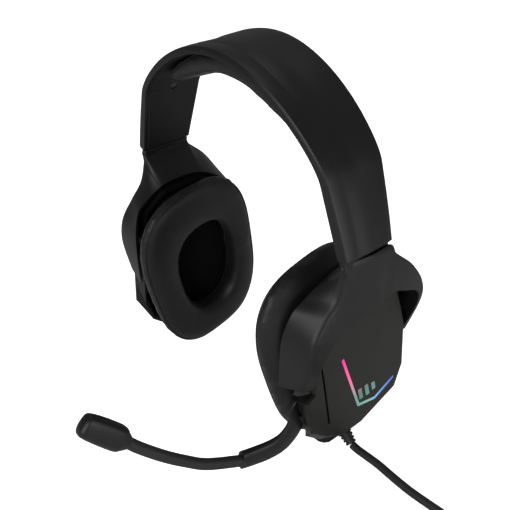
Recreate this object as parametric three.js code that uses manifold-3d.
// Over-ear gaming headset with a boom microphone, standing upright on the feet of its ear cups.
// Millimetres, +Z up. The wearer's left is +X and the wearer's front is -Y.
// Outlines of the ear cups are lists of [front, up] measured from the middle of the cushion's face.
import * as THREE from 'three';
import { mergeVertices } from 'three/addons/utils/BufferGeometryUtils.js';
import Module from 'manifold-3d';

// ---------------------------------------------------------------- driving dimensions
const GAP = 0.3;                     // clearance between neighbouring pieces
const FLOOR = 1.2;                   // height of the surface below the headset in the lists of points
const CENTRE_SHIFT = 49.63;          // moves everything back, so that the box is centred on Z

const BAND_END = [80, 130.7];        // x and z of the outer face at the band's left end
const BAND_LEAN = 15.5;              // degrees, how far the band's ends lean inwards
const BAND_STRAIGHT = 38;            // straight stretch above each end
const BAND_TOP = 210.7;              // height of the outer face at the crown
const BAND_SHOULDER = 36;            // x of the arch's upper control point
const BAND_HALF_WIDTH_END = 16;
const BAND_HALF_WIDTH_TOP = 21.4;
const BAND_FORWARD_END = 1.5;        // how far the band's middle sits in front of the cups' middle
const BAND_FORWARD_TOP = 3.6;
const BAND_BULGE = 3.2;              // how far the band's ends swell outwards
const BAND_SKIN = 1.2;
const BAND_DEPTH = 3.9;
const BAND_FLANGE = 1.8;
const LINER_FROM = 3.1;
const LINER_TO = 4.4;
const PAD_START = 57;                // distances along the band from its end
const SPRING_START = 52;
const BAND_SCREW_AT = 42;

const STEM_THICK = 1.3;
const STEM_HALF_WIDTH = 10;
const STEM_INSIDE = 36;              // how much of the stem the band hides at rest
const STEM_DEPTH = 2.15;

const YOKE_WALL = 2.4;
const CUP_FACE = [45.5, 57.5];       // x and z of the middle of the cushion's face
const CUP_TILT = 3;                  // degrees, the cup's outer side looks slightly up
const PIVOT_OUT = 24;                // tilt hinge, from the cushion's face and up
const PIVOT_UP = 12;
const PIN_RADIUS = 2.5;

const CUSHION_DEPTH = 15.5;
const RING_FROM = 15.8;
const RING_TO = 17.8;
const BAFFLE_FROM = 18.1;
const BAFFLE_TO = 20.1;
const SHELL_FROM = 20.4;
const SHELL_TO = 29;
const SHELL_WALL = 2;
const PLATE_FROM = 29.3;
const PLATE_TO = 32;
const DRIVER = [-3, -3];             // middle of the driver, front and up
const MIC_HUB = [32, -16];           // middle of the microphone's swivel, front and up
const MIC_HUB_FROM = 20.6;
const MIC_HUB_TO = 24.6;
const MIC_HUB_RADIUS = 8;
const WHEEL = [-31.5, -6];
const WHEEL_RADIUS = 8;

const CORD_RADIUS = 2.25;
const COIL_CENTRE = [196, -29.5];
const COIL_RADIUS = 26;              // middle of the turns
const COIL_WIDE = 3;                 // turns side by side
const COIL_HIGH = 4;                 // turns on each other

// ---------------------------------------------------------------- materials
const finish = (color, roughness, metalness = 0) =>
  new THREE.MeshStandardMaterial({ color, roughness, metalness });
const satinPlastic = finish('#2c2c2e', 0.45);
const innerPlastic = finish('#1d1d1f', 0.6);
const platePlastic = finish('#3a3936', 0.38);
const leatherette = finish('#19191b', 0.55);
const cloth = finish('#101011', 0.95);
const rubber = finish('#161617', 0.75);
const steel = finish('#8d9093', 0.35, 1);
const darkSteel = finish('#3b3c3e', 0.4, 1);
const copper = finish('#a4663a', 0.45, 1);
const board = finish('#1d4a30', 0.6);
const lightGuide = finish('#f2f4f5', 0.25);

// ---------------------------------------------------------------- mesh helpers
const wasm = await Module();
wasm.setup();
const radians = THREE.MathUtils.degToRad;
const vec = (x, y, z) => new THREE.Vector3(x, y, z);

// Position-only, merged, without slivers, and with its faces pointing out.
function tidy(geometry) {
  const bare = new THREE.BufferGeometry();
  bare.setAttribute('position', geometry.getAttribute('position').clone());
  if (geometry.index) bare.setIndex(geometry.index.clone());
  const merged = mergeVertices(bare, 1e-4);
  const corners = [...merged.index.array];
  const triangles = [];
  for (let i = 0; i < corners.length; i += 3) {
    const [a, b, c] = corners.slice(i, i + 3);
    if (a !== b && b !== c && c !== a) triangles.push([a, b, c]);
  }
  const at = (i) => new THREE.Vector3().fromBufferAttribute(merged.attributes.position, i);
  const volume = triangles.reduce((sum, [a, b, c]) => sum + at(a).dot(at(b).cross(at(c))), 0);
  const ordered = volume > 0 ? triangles : triangles.map(([a, b, c]) => [a, c, b]);
  merged.setIndex(ordered.flat());
  return merged;
}

function toSolid(geometry) {
  const clean = tidy(geometry);
  return new wasm.Manifold(new wasm.Mesh({
    numProp: 3,
    vertProperties: new Float32Array(clean.attributes.position.array),
    triVerts: new Uint32Array(clean.index.array),
  }));
}

function toGeometry(solid) {
  const { vertProperties, triVerts } = solid.getMesh();
  const geometry = new THREE.BufferGeometry();
  geometry.setAttribute('position', new THREE.BufferAttribute(vertProperties, 3));
  geometry.setIndex(new THREE.BufferAttribute(triVerts, 1));
  return geometry;
}

const cut = (body, ...tools) =>
  toGeometry(tools.reduce((solid, tool) => solid.subtract(toSolid(tool)), toSolid(body)));
const join = (body, ...others) =>
  toGeometry(others.reduce((solid, other) => solid.add(toSolid(other)), toSolid(body)));

// The same piece for the wearer's right side.
function mirrored(geometry) {
  return tidy(tidy(geometry).scale(-1, 1, 1));
}

function capTriangles(ring) {
  const normal = vec(0, 0, 0);
  ring.forEach((point, i) => {
    const next = ring[(i + 1) % ring.length];
    normal.add(point.clone().cross(next));
  });
  normal.normalize();
  const along = ring[1].clone().sub(ring[0]).projectOnPlane(normal).normalize();
  const across = normal.clone().cross(along);
  const flat = ring.map((point) => new THREE.Vector2(point.dot(along), point.dot(across)));
  const turn = ([a, b, c]) => flat[b].clone().sub(flat[a]).cross(flat[c].clone().sub(flat[a]));
  return THREE.ShapeUtils.triangulateShape(flat, [])
    .map((t) => (turn(t) > 0 ? t : [t[0], t[2], t[1]]));
}

// A skin over rings of equal length; its ends are capped, or joined to each other.
function loft(rings, isLoop = false) {
  const size = rings[0].length;
  const triangles = [];
  const last = isLoop ? rings.length : rings.length - 1;
  for (let r = 0; r < last; r += 1) {
    const here = r * size;
    const there = ((r + 1) % rings.length) * size;
    for (let i = 0; i < size; i += 1) {
      const j = (i + 1) % size;
      triangles.push([here + i, here + j, there + j], [here + i, there + j, there + i]);
    }
  }
  if (!isLoop) {
    const end = (rings.length - 1) * size;
    capTriangles(rings[0]).forEach(([a, b, c]) => triangles.push([a, c, b]));
    capTriangles(rings.at(-1)).forEach(([a, b, c]) => triangles.push([end + a, end + b, end + c]));
  }
  const geometry = new THREE.BufferGeometry().setFromPoints(rings.flat());
  geometry.setIndex(triangles.flat());
  return tidy(geometry);
}

// A shape drawn as [front, up], as thick as the stretch of x from `from` to `to`.
function slab(outline, from, to, holes = []) {
  const toPoints = (list) => {
    const points = list.map(([front, up]) => new THREE.Vector2(-front, up));
    return THREE.ShapeUtils.isClockWise(points) ? points.reverse() : points;
  };
  const shape = new THREE.Shape(toPoints(outline));
  holes.forEach((hole) => shape.holes.push(new THREE.Path(toPoints(hole))));
  const geometry = new THREE.ExtrudeGeometry(shape, { depth: to - from, bevelEnabled: false });
  const turn = new THREE.Matrix4().makeBasis(vec(0, 1, 0), vec(0, 0, 1), vec(1, 0, 0));
  return tidy(geometry.applyMatrix4(turn).translate(from, 0, 0));
}

// A shape drawn as [x, z], as wide as y from -half to +half.
function profileSlab(outline, half) {
  const shape = new THREE.Shape(outline.map(([x, z]) => new THREE.Vector2(x, z)));
  const geometry = new THREE.ExtrudeGeometry(shape, { depth: 2 * half, bevelEnabled: false });
  const turn = new THREE.Matrix4().makeBasis(vec(1, 0, 0), vec(0, 0, 1), vec(0, -1, 0));
  return tidy(geometry.applyMatrix4(turn).translate(0, half, 0));
}

// The outline of a strip of one width along a bent line, which can run on past its two ends.
function strip(points, width, overrun = 0) {
  const line = points.map(([u, v]) => new THREE.Vector2(u, v));
  const runOn = (end, next) => end.add(end.clone().sub(next).normalize().multiplyScalar(overrun));
  runOn(line[0], line[1]);
  runOn(line.at(-1), line.at(-2));
  const side = (sign) => line.map((point, i) => {
    const before = line[Math.max(i - 1, 0)];
    const after = line[Math.min(i + 1, line.length - 1)];
    const first = (i > 0 ? point.clone().sub(before) : after.clone().sub(point)).normalize();
    const second = (i < line.length - 1 ? after.clone().sub(point) : first.clone()).normalize();
    const mitre = first.clone().add(second).normalize();
    const reach = sign * width / 2 / mitre.dot(second);
    return [point.x - mitre.y * reach, point.y + mitre.x * reach];
  });
  return [...side(1), ...side(-1).reverse()];
}

const circle = ([front, up], radius, count = 24) => Array.from({ length: count }, (_, i) => {
  const angle = (2 * Math.PI * i) / count;
  return [front + radius * Math.cos(angle), up + radius * Math.sin(angle)];
});

const rectangle = (front0, front1, up0, up1) =>
  [[front0, up0], [front1, up0], [front1, up1], [front0, up1]];

// A turned piece: its profile is [radius, distance] along the axis from `start`.
function turned(profile, start, direction, segments = 16) {
  const points = profile.map(([radius, along]) => new THREE.Vector2(radius, along));
  const turn = new THREE.Quaternion().setFromUnitVectors(vec(0, 1, 0), direction.clone().normalize());
  const geometry = new THREE.LatheGeometry(points, segments);
  return tidy(geometry.applyQuaternion(turn).translate(start.x, start.y, start.z));
}

const rod = (radius, start, end, segments = 16) => {
  const length = start.distanceTo(end);
  return turned([[0, 0], [radius, 0], [radius, length], [0, length]], start,
    end.clone().sub(start), segments);
};

function tube(points, radius, sides, steps) {
  const shape = new THREE.Shape(circle([0, 0], radius, sides).map(([u, v]) => new THREE.Vector2(u, v)));
  const path = new THREE.CatmullRomCurve3(points, false, 'centripetal');
  return tidy(new THREE.ExtrudeGeometry(shape, { steps, bevelEnabled: false, extrudePath: path }));
}

// ---------------------------------------------------------------- the group
const headset = new THREE.Group();
headset.position.set(0, CENTRE_SHIFT, -FLOOR);

function add(parent, name, geometry, material) {
  const mesh = new THREE.Mesh(geometry, material);
  mesh.name = name;
  parent.add(mesh);
}

const SIDES = [{ side: 'left', sign: 1 }, { side: 'right', sign: -1 }];
const forSide = (geometry, sign) => (sign > 0 ? geometry : mirrored(geometry));

// ---------------------------------------------------------------- headband
const bandUp = vec(-Math.sin(radians(BAND_LEAN)), 0, Math.cos(radians(BAND_LEAN)));
const bandInward = vec(-bandUp.z, 0, bandUp.x);
const bandEnd = vec(BAND_END[0], 0, BAND_END[1]);
const bandStart = bandEnd.clone().addScaledVector(bandUp, BAND_STRAIGHT);
const halfBand = new THREE.CurvePath();
halfBand.add(new THREE.LineCurve3(bandEnd, bandStart));
halfBand.add(new THREE.CubicBezierCurve3(bandStart, bandStart.clone().addScaledVector(bandUp, 13),
  vec(BAND_SHOULDER, 0, BAND_TOP), vec(0, 0, BAND_TOP)));
const HALF_LENGTH = halfBand.getLength();

// Place, inward direction and half width of the band, `along` millimetres from its left end.
function bandAt(along) {
  const sign = along > HALF_LENGTH ? -1 : 1;
  const t = (sign > 0 ? along : 2 * HALF_LENGTH - along) / HALF_LENGTH;
  const point = halfBand.getPoint(t);
  const tangent = t > 0.9999 ? vec(-1, 0, 0) : halfBand.getTangent(t);
  const rise = (point.z - BAND_END[1]) / (BAND_TOP - BAND_END[1]);
  return {
    point: vec(sign * point.x, -THREE.MathUtils.lerp(BAND_FORWARD_END, BAND_FORWARD_TOP, rise), point.z),
    inward: vec(-sign * tangent.z, 0, tangent.x),
    half: THREE.MathUtils.lerp(BAND_HALF_WIDTH_END, BAND_HALF_WIDTH_TOP, rise),
  };
}

function bandRing(along, section) {
  const { point, inward, half } = bandAt(along);
  return section(half, along).map(([across, depth]) =>
    point.clone().addScaledVector(inward, depth).add(vec(0, across, 0)));
}

function bandLoft(from, steps, section) {
  const to = 2 * HALF_LENGTH - from;
  const rings = Array.from({ length: steps + 1 }, (_, i) =>
    bandRing(from + ((to - from) * i) / steps, section));
  return loft(rings);
}

// A shallow valley runs over each shoulder of the band and fades towards its ends and the crown.
function valleyDepth(along) {
  const near = Math.min(along, 2 * HALF_LENGTH - along);
  const middle = 68;
  return 0.9 * THREE.MathUtils.smoothstep(40 - Math.abs(near - middle), 0, 22);
}

function shellSection(half, along) {
  const inner = half - BAND_FLANGE;
  const near = Math.min(along, 2 * HALF_LENGTH - along);
  const bulge = BAND_BULGE * THREE.MathUtils.smoothstep(-near, -62, -8);
  return [[-half, 0.9], [-half + 1.1, 0], [-6, -0.6 * bulge], [0, valleyDepth(along) - bulge],
    [6, -bulge], [half - 1.1, -0.7 * bulge], [half, 0.9 - 0.5 * bulge], [half, BAND_DEPTH],
    [inner, BAND_DEPTH], [inner, BAND_SKIN], [-inner, BAND_SKIN], [-inner, BAND_DEPTH],
    [-half, BAND_DEPTH]];
}

function linerSection(half) {
  const edge = half - BAND_FLANGE - GAP;
  return [[-edge, LINER_FROM], [edge, LINER_FROM], [edge, LINER_TO - 0.5], [edge - 0.8, LINER_TO],
    [0.8 - edge, LINER_TO], [-edge, LINER_TO - 0.5]];
}

function padSection(half, along) {
  const near = Math.min(along, 2 * HALF_LENGTH - along) - PAD_START;
  const thick = 5 + 7.5 * THREE.MathUtils.smoothstep(near, -14, 34);
  const edge = half - 4.5;
  const top = LINER_TO + GAP;
  return [[-edge + 2, top], [edge - 2, top], [edge, top + thick * 0.3], [edge, top + thick * 0.6],
    [edge - 4, top + thick * 0.92], [0, top + thick], [4 - edge, top + thick * 0.92],
    [-edge, top + thick * 0.6], [-edge, top + thick * 0.3]];
}

const springSection = () => [[-7, 1.6], [7, 1.6], [7, 2.6], [-7, 2.6]];
const wireSection = () => circle([11, 2.15], 0.6, 6);

function bandScrew(clearance) {
  const { point, inward } = bandAt(BAND_SCREW_AT);
  const head = 2.2 + clearance;
  const shank = 1 + clearance;
  const profile = [[0, 1.6 - clearance], [shank, 1.6 - clearance], [shank, 3.5 - clearance],
    [head, 3.5 - clearance], [head, 4.3 + 2 * clearance], [0, 4.3 + 2 * clearance]];
  return turned(profile, point, inward, 12);
}

function bandBoss() {
  const { point, inward } = bandAt(BAND_SCREW_AT);
  return rod(2.4, point.clone().addScaledVector(inward, BAND_SKIN - 0.4),
    point.clone().addScaledVector(inward, LINER_FROM - GAP), 12);
}

function buildHeadband() {
  const boss = bandBoss();
  const hole = bandScrew(GAP);
  const shell = join(bandLoft(0, 34, shellSection), boss, mirrored(boss));
  add(headset, 'headband_shell', cut(shell, hole, mirrored(hole)), satinPlastic);
  const liner = bandLoft(0.5, 30, linerSection);
  add(headset, 'headband_liner', cut(liner, hole, mirrored(hole)), innerPlastic);
  add(headset, 'headband_pad', bandLoft(PAD_START, 20, padSection), leatherette);
  add(headset, 'headband_spring', bandLoft(SPRING_START, 20, springSection), steel);
  add(headset, 'crossover_wire', bandLoft(SPRING_START, 18, wireSection), rubber);
  SIDES.forEach(({ side, sign }) =>
    add(headset, `headband_screw_${side}`, forSide(bandScrew(0), sign), darkSteel));
}

// ---------------------------------------------------------------- sliders and yokes
// Each rail is [x, front, z] from the tip of the front arm, over the neck, to the rear arm's tip.
const YOKE_EDGE = [[60, 37.6, 54.8], [60.6, 38.3, 74], [61.6, 37.4, 88], [63.6, 33.4, 100.5],
  [64.2, 26, 105.8], [64.4, 19, 109.4], [64.2, 12, 111.9], [63, 0, 113.4], [62.4, -9.5, 112.4],
  [62, -17.5, 109.4], [61.8, -25.5, 104.4], [61.2, -35.5, 95], [60.4, -42.2, 82], [60, -42.8, 57]];
const YOKE_FOLD = [[74.5, 34.5, 58.1], [80, 36, 76], [80, 34.5, 90.3], [79.7, 27, 101],
  [80, 19.6, 110], [79.6, 17, 122], [79.8, 16.2, 129.2], [82.5, 0, 130.1], [82.4, -14.2, 129.9],
  [83.2, -17.3, 124], [84.2, -30.5, 111.6], [84, -40, 97], [82.2, -43, 83], [75.5, -41.5, 60]];
const YOKE_LIP = [[78.6, 32.2, 61.9], [81.4, 31, 72], [82.2, 26, 82.7], [83, 21, 88.7],
  [83.4, 14, 92.5], [83.7, 7, 95.2], [83.9, 0, 98], [84, -6, 99.8], [84, -10.5, 100.7],
  [84, -18, 100], [84, -26.5, 96.7], [83.4, -37.5, 90.5], [81.8, -39.6, 79.5], [75.2, -38.3, 60.5]];

const yokeRail = (points) =>
  new THREE.CatmullRomCurve3(points.map(([x, front, z]) => vec(x, -front, z)), false, 'centripetal');

function yokeRing(edge, fold, lip) {
  const toEdge = edge.clone().sub(fold).normalize();
  const toLip = lip.clone().sub(fold).normalize();
  const cosine = toEdge.dot(toLip);
  const sine = Math.sqrt(1 - cosine * cosine);
  const inFold = fold.clone().addScaledVector(toEdge.clone().add(toLip), YOKE_WALL / sine);
  const fromEdge = toLip.clone().addScaledVector(toEdge, -cosine).normalize();
  const fromLip = toEdge.clone().addScaledVector(toLip, -cosine).normalize();
  return [edge, fold, lip, lip.clone().addScaledVector(fromLip, YOKE_WALL), inFold,
    edge.clone().addScaledVector(fromEdge, YOKE_WALL)];
}

// The stem's middle line, [x, z]: down the band, a jog under the yoke's rim, and a screwed tab.
function stemLine() {
  const mouth = bandEnd.clone().addScaledVector(bandInward, STEM_DEPTH);
  const top = mouth.clone().addScaledVector(bandUp, STEM_INSIDE);
  const foot = mouth.clone().addScaledVector(bandUp, -1.2);
  return [[top.x, top.z], [foot.x, foot.z], [76.2, 124.4], [77.5, 111.5]];
}

const STEM_SCREW = { x: 77.05, z: 116 };

function stemScrew(clearance) {
  const head = 2.6 + clearance;
  const shank = 1.3 + clearance;
  const profile = [[0, -2.1 - clearance], [head, -2.1 - clearance], [head, -0.95], [shank, -0.95],
    [shank, 2.4 + clearance], [0, 2.4 + clearance]];
  return turned(profile, vec(STEM_SCREW.x, 0, STEM_SCREW.z), vec(1, 0, 0.09), 12);
}

function pivotPin(front, clearance) {
  const { x, z } = pivotPlace();
  const [from, to] = front ? [-35.2, -28.9] : [40.6, 34.2];
  const more = Math.sign(from) * clearance;
  return rod(PIN_RADIUS + clearance, vec(x, from + more, z), vec(x, to - more, z), 20);
}

function pivotPlace() {
  const tilt = radians(CUP_TILT);
  return {
    x: CUP_FACE[0] + PIVOT_OUT * Math.cos(tilt) - PIVOT_UP * Math.sin(tilt),
    z: CUP_FACE[1] + PIVOT_OUT * Math.sin(tilt) + PIVOT_UP * Math.cos(tilt),
  };
}

// The neck fills the room between the roof of the yoke and the mouth of the band.
function yokeNeck() {
  const corner = (depth, rise) => {
    const point = bandEnd.clone().addScaledVector(bandInward, depth).addScaledVector(bandUp, rise);
    return [point.x, point.z];
  };
  const outline = [corner(0.5, -0.35), corner(4.3, -0.35), corner(4.6, -7.6), corner(0.5, -5)];
  return profileSlab(outline, BAND_HALF_WIDTH_END - 1).translate(0, -BAND_FORWARD_END, 0);
}

function yokeGeometry() {
  const [edge, fold, lip] = [YOKE_EDGE, YOKE_FOLD, YOKE_LIP].map(yokeRail);
  const steps = 36;
  const rings = Array.from({ length: steps + 1 }, (_, i) =>
    yokeRing(edge.getPoint(i / steps), fold.getPoint(i / steps), lip.getPoint(i / steps)));
  const slot = profileSlab(strip(stemLine(), STEM_THICK + 2 * GAP), STEM_HALF_WIDTH + GAP);
  return cut(join(loft(rings), yokeNeck()), slot, stemScrew(GAP), pivotPin(true, GAP), pivotPin(false, GAP));
}

function buildYokes() {
  const stem = profileSlab(strip(stemLine(), STEM_THICK), STEM_HALF_WIDTH);
  const yoke = yokeGeometry();
  SIDES.forEach(({ side, sign }) => {
    add(headset, `${side}_slider_stem`, forSide(cut(stem, stemScrew(GAP)), sign), steel);
    add(headset, `${side}_slider_screw`, forSide(stemScrew(0), sign), darkSteel);
    add(headset, `${side}_yoke`, forSide(yoke, sign), satinPlastic);
    add(headset, `${side}_pivot_pin_front`, forSide(pivotPin(true, 0), sign), steel);
    add(headset, `${side}_pivot_pin_rear`, forSide(pivotPin(false, 0), sign), steel);
  });
}

// ---------------------------------------------------------------- ear cups
// A leaning oval with squarish ends, wider towards its top, as [front, up] at an angle.
const CUSHION_OVAL = { across: 38.2, tall: 56, middle: [-1, -0.1], squareness: 2.92 };
const CARRIER_OVAL = { across: 33.5, tall: 53, middle: [-5.5, -6], squareness: 2.92, lean: 4 };
const EAR_OVAL = { across: 19.5, tall: 31.5, middle: [-5, -3], squareness: 2.4 };
const CLOTH_OVAL = { across: 21.5, tall: 33.5, middle: [-5, -3], squareness: 2.4 };
const OVAL_LEAN = 12.6;                // degrees, unless an oval states its own
const OVAL_TAPER = 0.07;

function ovalPoint(oval, angle) {
  const lean = radians(oval.lean ?? OVAL_LEAN);
  const power = 2 / oval.squareness;
  const bend = (value) => Math.sign(value) * Math.abs(value) ** power;
  const up = oval.tall * bend(Math.sin(angle));
  const across = oval.across * (1 + OVAL_TAPER * bend(Math.sin(angle))) * bend(Math.cos(angle));
  return [
    oval.middle[0] + Math.cos(lean) * across + Math.sin(lean) * up,
    oval.middle[1] - Math.sin(lean) * across + Math.cos(lean) * up,
  ];
}

const ovalOutline = (oval, count) =>
  Array.from({ length: count }, (_, i) => ovalPoint(oval, (2 * Math.PI * i) / count));

// The cushion's section, from its opening (0) to its outside (1), and out from its face.
const CUSHION_SECTION = [[0.06, CUSHION_DEPTH], [0, 9], [0.03, 3.5], [0.16, 0.6], [0.5, 0],
  [0.84, 0.5], [0.97, 2.4], [1, 5], [0.96, 8.4], [0.8, 10.8], [0.78, CUSHION_DEPTH]];

function cushion() {
  const count = 36;
  const rings = Array.from({ length: count }, (_, i) => {
    const angle = (2 * Math.PI * i) / count;
    const [innerFront, innerUp] = ovalPoint(EAR_OVAL, angle);
    const [outerFront, outerUp] = ovalPoint(CUSHION_OVAL, angle);
    return CUSHION_SECTION.map(([share, out]) => vec(out,
      -THREE.MathUtils.lerp(innerFront, outerFront, share),
      THREE.MathUtils.lerp(innerUp, outerUp, share)));
  });
  return loft(rings, true);
}

// From a cup's own frame to the part's frame.
function cupFrame() {
  const lean = new THREE.Matrix4().makeRotationY(-radians(CUP_TILT));
  return lean.setPosition(CUP_FACE[0], 0, CUP_FACE[1]);
}

// A block whose top is the surface that the headset stands on, in the cup's own frame.
function underFloor() {
  const block = new THREE.BoxGeometry(200, 200, 40).translate(CUP_FACE[0], 0, FLOOR - 20);
  return block.applyMatrix4(cupFrame().invert());
}

const SCREWS = { upper: [8, 38], lower: [-8, -41] };

function cupScrew(place, clearance) {
  const head = 2.4 + clearance;
  const shank = 1.2 + clearance;
  const profile = [[0, BAFFLE_FROM + 0.1 - 2 * clearance], [head, BAFFLE_FROM + 0.1 - 2 * clearance],
    [head, BAFFLE_FROM + 1.1 + clearance], [shank, BAFFLE_FROM + 1.1 + clearance],
    [shank, 25 + clearance], [0, 25 + clearance]];
  return turned(profile, vec(0, -place[0], place[1]), vec(1, 0, 0), 12);
}

function carrierRing() {
  const plate = slab(ovalOutline(CARRIER_OVAL, 36), RING_FROM, RING_TO, [ovalOutline(CLOTH_OVAL, 24)]);
  return cut(plate, underFloor());
}

function baffle() {
  const plate = slab(ovalOutline(CARRIER_OVAL, 36), BAFFLE_FROM, BAFFLE_TO, [circle(DRIVER, 18, 24)]);
  const holes = Object.values(SCREWS).map((place) => cupScrew(place, GAP));
  return cut(plate, underFloor(), ...holes);
}

// Matching corners of the shell's base and of its outer face.
const SHELL_BASE = [[-38, 8], [-38, -25], [-32, -44], [-18, -53], [0, -54.5], [14, -50.5], [26, -40],
  [33, -25], [34.5, -9], [31.2, -4], [31.2, 22], [27.5, 40], [14, 48.8], [-13, 50],
  [-26.5, 42], [-34, 24]];
const SHELL_FACE = [[-38, 8], [-38.6, -20], [-33, -33], [-6, -43], [8, -43.5], [20, -38], [31, -29],
  [35, -15], [35, -7], [29.4, -4], [29.4, 18], [26.5, 39.5], [14, 49.5], [-14, 51], [-27, 42.5],
  [-34, 22]];
const SLIM_FRONT = 31;               // the cup without the microphone ends this far forward

function slimmer(outline) {
  return outline.map(([front, up]) => [up > -34 ? Math.min(front, SLIM_FRONT) : front, up]);
}

const ringAt = (outline, out, shrink = 0) => outline.map(([front, up]) => {
  const reach = Math.hypot(front, up);
  const scale = (reach - shrink) / reach;
  return vec(out, -front * scale, up * scale);
});

function shellBosses() {
  const screwBosses = Object.values(SCREWS).map(([front, up]) =>
    rod(3.2, vec(SHELL_FROM, -front, up), vec(SHELL_TO - 1, -front, up), 14));
  const pinBosses = [[-31.4, -27.2], [37, 32.4]].map(([from, to]) =>
    rod(4.1, vec(PIVOT_OUT + 0.6, from, PIVOT_UP), vec(PIVOT_OUT + 0.6, to, PIVOT_UP), 16));
  return [...screwBosses, ...pinBosses];
}

function pinHole(front) {
  const [from, to] = front ? [-36, -28.6] : [41, 33.9];
  return rod(PIN_RADIUS + GAP, vec(PIVOT_OUT, from, PIVOT_UP), vec(PIVOT_OUT, to, PIVOT_UP), 20);
}

// The room that the microphone's arm sweeps through in the lower front corner of the left shell.
function micRoom() {
  const sweep = slab(rectangle(25, 60, -70, -9), SHELL_FROM - 2, MIC_HUB_TO + 0.4);
  const bearing = slab(circle(MIC_HUB, MIC_HUB_RADIUS + 0.6, 24), SHELL_FROM - 2, MIC_HUB_TO + 0.4);
  const spigot = slab(circle(MIC_HUB, 2.5 + GAP, 16), SHELL_FROM, 28);
  return [sweep, bearing, spigot];
}

function controlRoom() {
  return [slab(circle(WHEEL, WHEEL_RADIUS + 0.6, 24), 21.6, 26.4),
    slab(rectangle(-60, -32, -24.4, -16.6), 22.1, 26.9)];
}

function cupShell(isLeft) {
  const [base, face] = isLeft ? [SHELL_BASE, SHELL_FACE] : [SHELL_BASE, SHELL_FACE].map(slimmer);
  const outside = loft([ringAt(base, SHELL_FROM), ringAt(face, SHELL_TO)]);
  let hollow = loft([ringAt(base, SHELL_FROM - 0.5, SHELL_WALL),
    ringAt(face, SHELL_TO - 1.8, SHELL_WALL + 0.4)]);
  if (isLeft) hollow = cut(hollow, slab(rectangle(23, 60, -70, -5.5), 0, 60));
  const openings = [pinHole(true), pinHole(false), lightSlot(),
    ...Object.values(SCREWS).map((place) => cupScrew(place, GAP))];
  if (isLeft) openings.push(...micRoom(), ...controlRoom(), glandSeat());
  return cut(join(cut(outside, hollow), ...shellBosses()), ...openings);
}

const LIGHT_LINE = [[9.7, 8], [-3.4, -29], [-16, -31.5], [-31, -25]];
const LIGHT_WIDE = 1.4;
const GROOVE_LINE = [[26, 18], [22.8, -1.5], [19, -28.5]];

const lightSlot = () => slab(strip(LIGHT_LINE, LIGHT_WIDE + 2 * GAP, GAP), 26.5, PLATE_TO + 1);

function faceplate(isLeft) {
  const face = isLeft ? SHELL_FACE : slimmer(SHELL_FACE);
  const plate = loft([ringAt(face, PLATE_FROM), ringAt(face, PLATE_TO - 1), ringAt(face, PLATE_TO, 1)]);
  const groove = slab(strip(GROOVE_LINE, 1.3), PLATE_TO - 1.2, PLATE_TO + 1);
  return cut(plate, groove, lightSlot());
}

function diaphragm() {
  const front = [[0, 17.9], [6, 18.4], [9, 19.2], [14, 18.5], [17.4, 19.3]];
  const profile = [...front, [17.4, 19.9], [9, 19.9], [0, 18.9]];
  return turned(profile, vec(0, -DRIVER[0], DRIVER[1]), vec(1, 0, 0), 24);
}

function buildCup(side, sign) {
  const cup = new THREE.Group();
  cup.position.set(sign * CUP_FACE[0], 0, CUP_FACE[1]);
  cup.rotation.y = -sign * radians(CUP_TILT);
  headset.add(cup);
  const piece = (name, geometry, material) => add(cup, `${side}_${name}`, forSide(geometry, sign), material);
  piece('ear_cushion', cushion(), leatherette);
  piece('cushion_carrier', carrierRing(), innerPlastic);
  piece('ear_cloth', slab(ovalOutline({ ...CLOTH_OVAL, across: 21, tall: 33 }, 24), 16.2, 17.2), cloth);
  piece('baffle', baffle(), innerPlastic);
  piece('driver_diaphragm', diaphragm(), copper);
  const opening = circle(DRIVER, 10, 16);
  piece('driver_frame', slab(circle(DRIVER, 19.6, 28), SHELL_FROM, 22.4, [opening]), darkSteel);
  piece('driver_magnet', slab(circle(DRIVER, 11.5, 24), 22.7, 25.3), steel);
  piece('cup_shell', cupShell(sign > 0), satinPlastic);
  piece('led_board', slab(strip(LIGHT_LINE, 5), 25.7, 26.5), board);
  piece('light_guide', slab(strip(LIGHT_LINE, LIGHT_WIDE), 26.8, PLATE_TO + 0.1), lightGuide);
  piece('faceplate', faceplate(sign > 0), platePlastic);
  Object.entries(SCREWS).forEach(([name, place]) =>
    piece(`cup_screw_${name}`, cupScrew(place, 0), darkSteel));
  return cup;
}

// ---------------------------------------------------------------- controls on the left cup
function volumeWheel() {
  const teeth = 24;
  const outline = Array.from({ length: teeth * 2 }, (_, i) => {
    const radius = i % 2 ? WHEEL_RADIUS : WHEEL_RADIUS - 0.5;
    const angle = (Math.PI * i) / teeth;
    return [WHEEL[0] + radius * Math.cos(angle), WHEEL[1] + radius * Math.sin(angle)];
  });
  return slab(outline, 22, 26, [circle(WHEEL, 1.5, 8)]);
}

function buildControls(cup) {
  add(cup, 'main_board', slab(rectangle(-26, 10, -37, -19), 23, 24.4), board);
  add(cup, 'volume_wheel', volumeWheel(), rubber);
  add(cup, 'mute_button', slab(rectangle(-39.2, -33.6, -24, -17), 22.5, 26.5), rubber);
}

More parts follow.
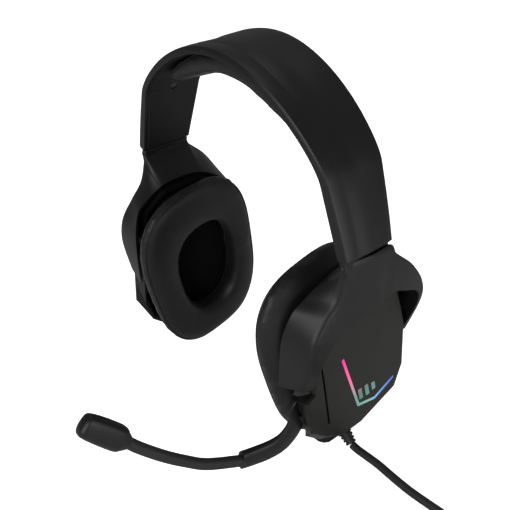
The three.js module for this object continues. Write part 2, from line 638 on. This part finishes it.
// ---------------------------------------------------------------- microphone
// The arm's middle line as [x, front, z, half width, half thickness].
const MIC_ARM = [[68.9, 32, 41, 6.4, 1.9], [69.4, 35.3, 32.4, 6.4, 2], [68.7, 41.7, 26.3, 6.2, 2.2],
  [67.2, 49.2, 24.1, 5.8, 2.4], [65.5, 58, 24.4, 5.4, 2.6], [64, 66.6, 25.6, 5, 2.8]];
const MIC_BOOM = [[63.8, 68.3, 26], [60, 84.9, 32.5], [57, 95.7, 39.8], [54, 105.4, 47.5],
  [50.2, 115.2, 56.4], [48.2, 119.8, 61.4]];
const MIC_BOOM_RADIUS = 3;
const MIC_HEAD = [[48, 120.2, 61.9, 3.2, 3.2], [47.2, 121.9, 63.7, 4.9, 4], [46.2, 124.3, 66.2, 6.4, 4.6],
  [43.2, 133.2, 75.2, 6.2, 4.6], [42, 137.2, 79.2, 5.6, 4.1], [41.5, 138.8, 80.8, 4.6, 3]];
const CAPSULE_AT = vec(44.4, -130, 72);

// Rounded sections across a line of points, their thin side facing sideways.
function bladeRings(line) {
  const points = line.map(([x, front, z]) => vec(x, -front, z));
  return points.map((point, i) => {
    const tangent = points[Math.min(i + 1, line.length - 1)].clone()
      .sub(points[Math.max(i - 1, 0)]).normalize();
    const thin = vec(1, 0, 0).projectOnPlane(tangent).normalize();
    const wide = tangent.clone().cross(thin);
    const [halfWide, halfThin] = line[i].slice(3);
    const soft = 0.45 * Math.min(halfWide, halfThin);
    return [[1, -1], [1, 1], [-1, 1], [-1, -1]].flatMap(([w, t]) => {
      const cornerA = [w * halfWide, t * (halfThin - soft)];
      const cornerB = [w * (halfWide - soft), t * halfThin];
      return w * t < 0 ? [cornerB, cornerA] : [cornerA, cornerB];
    }).map(([w, t]) => point.clone().addScaledVector(wide, w).addScaledVector(thin, t));
  });
}

function toHeadset(out, front, up) {
  return vec(out, -front, up).applyMatrix4(cupFrame());
}

function micArm() {
  const hub = rod(MIC_HUB_RADIUS, toHeadset(MIC_HUB_FROM, ...MIC_HUB), toHeadset(MIC_HUB_TO, ...MIC_HUB), 24);
  const spigot = rod(2.5, toHeadset(MIC_HUB_TO - 0.5, ...MIC_HUB), toHeadset(27.6, ...MIC_HUB), 16);
  return join(hub, spigot, loft(bladeRings(MIC_ARM)));
}

function buildMicrophone() {
  add(headset, 'mic_arm', micArm(), satinPlastic);
  add(headset, 'mic_boom', tube(MIC_BOOM.map(([x, front, z]) => vec(x, -front, z)), MIC_BOOM_RADIUS, 12, 18),
    rubber);
  const mouth = vec(-0.9, 0.32, 0.3).normalize();
  const along = (distance) => CAPSULE_AT.clone().addScaledVector(mouth, distance);
  const pocket = rod(5.2, along(-1), along(9), 20);
  add(headset, 'mic_head', cut(loft(bladeRings(MIC_HEAD)), pocket), satinPlastic);
  add(headset, 'mic_capsule', rod(4.8, along(-0.7), along(2.2), 20), steel);
  add(headset, 'mic_grille', rod(4.8, along(2.6), along(4.6), 20), cloth);
}

// ---------------------------------------------------------------- cord
const RELIEF_AT = vec(71.8, 0.4, 9.2);
const RELIEF_ALONG = vec(0.85, -0.08, -0.53).normalize();
const RELIEF_LENGTH = 9;

function glandSeat() {
  const seat = rod(3.6, RELIEF_AT.clone().addScaledVector(RELIEF_ALONG, -8),
    RELIEF_AT.clone().addScaledVector(RELIEF_ALONG, 6), 16);
  return seat.applyMatrix4(cupFrame().invert());
}

function strainRelief() {
  const ribs = [[0, -1.7], [3.2, -1.7], [3.2, 1.2], [3.9, 1.2], [3.9, 2.8]];
  for (let rib = 0; rib < 3; rib += 1) {
    const from = 2.8 + rib * 2;
    const radius = 3.6 - rib * 0.3;
    ribs.push([radius - 0.5, from], [radius - 0.5, from + 0.8], [radius, from + 0.8], [radius, from + 2]);
  }
  ribs.push([2.6, RELIEF_LENGTH], [0, RELIEF_LENGTH]);
  return turned(ribs, RELIEF_AT, RELIEF_ALONG, 12);
}

// Where the cord runs, with heights above the surface: out of the strain relief and away to the coil.
const CORD_ROUTE = [[80.4, -0.4, 2.8], [83, -0.5, 2.4], [86.5, -0.5, 2.3], [97.9, -0.3, 2.3],
  [106, -0.9, 2.3], [114, -1.5, 2.3], [122, -1.8, 2.3], [131, -1.5, 2.3], [141, -0.9, 2.3],
  [151, -0.2, 2.3], [160, 0.4, 2.3], [170, 0.9, 2.3], [177, 1, 2.3]];
const TAIL_ROUTE = [[196, -65.2, 2.3], [188, -66.2, 2.4], [180, -67, 3], [173, -67, 3.8], [167.4, -67, 4.4]];
const PLUG_AT = vec(166.8, -67, 4.5);

function coil() {
  const halfWide = (COIL_WIDE * CORD_RADIUS * 2) / 2;
  const high = COIL_HIGH * CORD_RADIUS * 2;
  const inner = COIL_RADIUS - halfWide;
  const outer = COIL_RADIUS + halfWide;
  const profile = [[inner, 0.1], [outer, 0.1], [outer, high], [inner, high], [inner, 0.1]];
  return turned(profile, vec(COIL_CENTRE[0], COIL_CENTRE[1], 0), vec(0, 0, 1), 32);
}

function cordTie() {
  const high = COIL_HIGH * CORD_RADIUS * 2 + GAP;
  const outer = COIL_RADIUS + (COIL_WIDE * CORD_RADIUS * 2) / 2 + GAP;
  const inner = COIL_RADIUS - (COIL_WIDE * CORD_RADIUS * 2) / 2 - 2 * GAP;
  const outline = [[inner - 1.2, 0], [inner - 1.2, high + 1.2], [outer + 1.2, high + 1.2], [outer + 1.2, 0],
    [outer, 0], [outer, high], [inner, high], [inner, 0]];
  return profileSlab(outline, 2.5).translate(COIL_CENTRE[0], COIL_CENTRE[1], 0);
}

function usbPlug() {
  const shape = new THREE.Shape([[-7.8, -3], [-6.6, -4.2], [6.6, -4.2], [7.8, -3], [7.8, 3], [6.6, 4.2],
    [-6.6, 4.2], [-7.8, 3]].map(([u, v]) => new THREE.Vector2(u, v)));
  const turn = new THREE.Matrix4().makeBasis(vec(0, 1, 0), vec(0, 0, 1), vec(1, 0, 0));
  const body = new THREE.ExtrudeGeometry(shape, { depth: 20, bevelEnabled: false });
  return tidy(body.applyMatrix4(turn).translate(PLUG_AT.x - 20, PLUG_AT.y, PLUG_AT.z));
}

function buildCord() {
  const points = (route) => route.map(([x, y, z]) => vec(x, y, z));
  const onSurface = new THREE.Group();
  onSurface.position.z = FLOOR;
  headset.add(onSurface);
  add(headset, 'strain_relief', strainRelief(), rubber);
  add(onSurface, 'usb_cord', tube(points(CORD_ROUTE), CORD_RADIUS, 8, 26), rubber);
  add(onSurface, 'usb_cord_coil', coil(), rubber);
  add(onSurface, 'cord_tie', cordTie(), innerPlastic);
  add(onSurface, 'usb_cord_tail', tube(points(TAIL_ROUTE), CORD_RADIUS, 8, 8), rubber);
  add(onSurface, 'usb_plug_body', usbPlug(), rubber);
  const shell = new THREE.BoxGeometry(12, 12, 4.5).translate(PLUG_AT.x - 26.3, PLUG_AT.y, PLUG_AT.z);
  add(onSurface, 'usb_plug_shell', tidy(shell), steel);
}

buildHeadband();
buildYokes();
const leftCup = buildCup('left', 1);
buildCup('right', -1);
buildControls(leftCup);
buildMicrophone();
buildCord();

export default headset;
